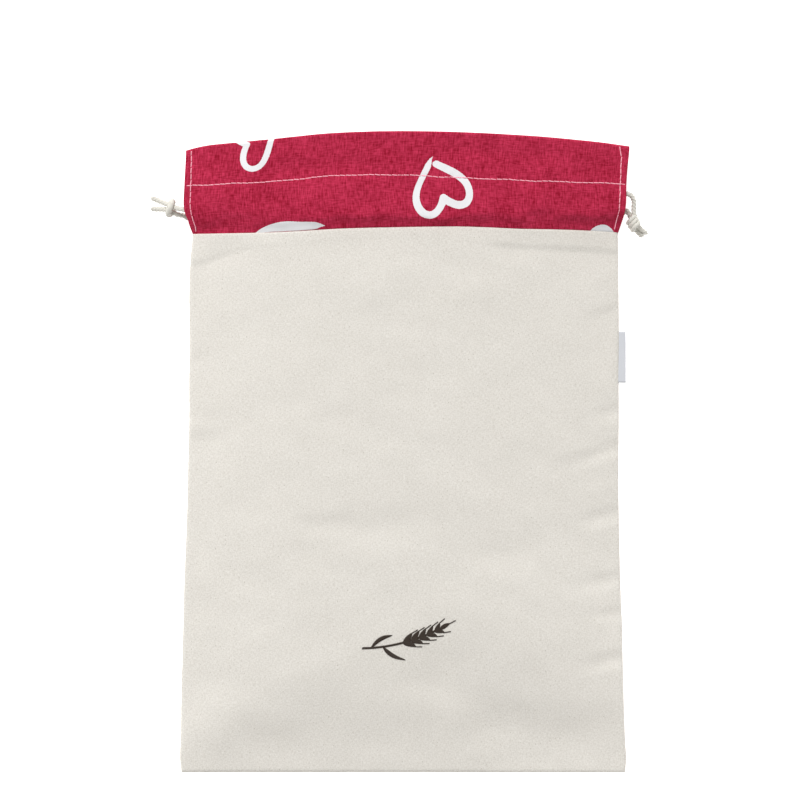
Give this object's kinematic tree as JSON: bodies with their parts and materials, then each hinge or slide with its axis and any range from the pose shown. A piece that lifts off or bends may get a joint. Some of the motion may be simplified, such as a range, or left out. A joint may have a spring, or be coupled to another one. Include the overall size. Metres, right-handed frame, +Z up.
{
  "type": "linen bread bag with drawstrings",
  "caption": "Flat linen bread bag with a doubled heading at its mouth, a drawstring through each side of it and a ribbon label in the side seam.",
  "frame": {"origin": "under the middle of the cloth bag, on the surface that it lies on", "axes": "+Y from the bottom edge towards the mouth, +X to the right seen from the front, +Z up out of the front"},
  "size_m": [0.3368, 0.4319, 0.0334],
  "materials": {
    "cream_linen": "matt",
    "crimson_linen": "matt",
    "cotton_cord": "matt",
    "label_ribbon": "satin",
    "sewing_thread": "satin",
    "embroidery_thread": "satin"
  },
  "bodies": {
    "root": {"front_panel": "cream_linen", "back_panel": "cream_linen", "front_band": "crimson_linen", "back_band": "crimson_linen", "drawstring_front": "cotton_cord", "drawstring_back": "cotton_cord", "knot_left": "cotton_cord", "knot_right": "cotton_cord", "side_label": "label_ribbon"}
  },
  "joints": []
}
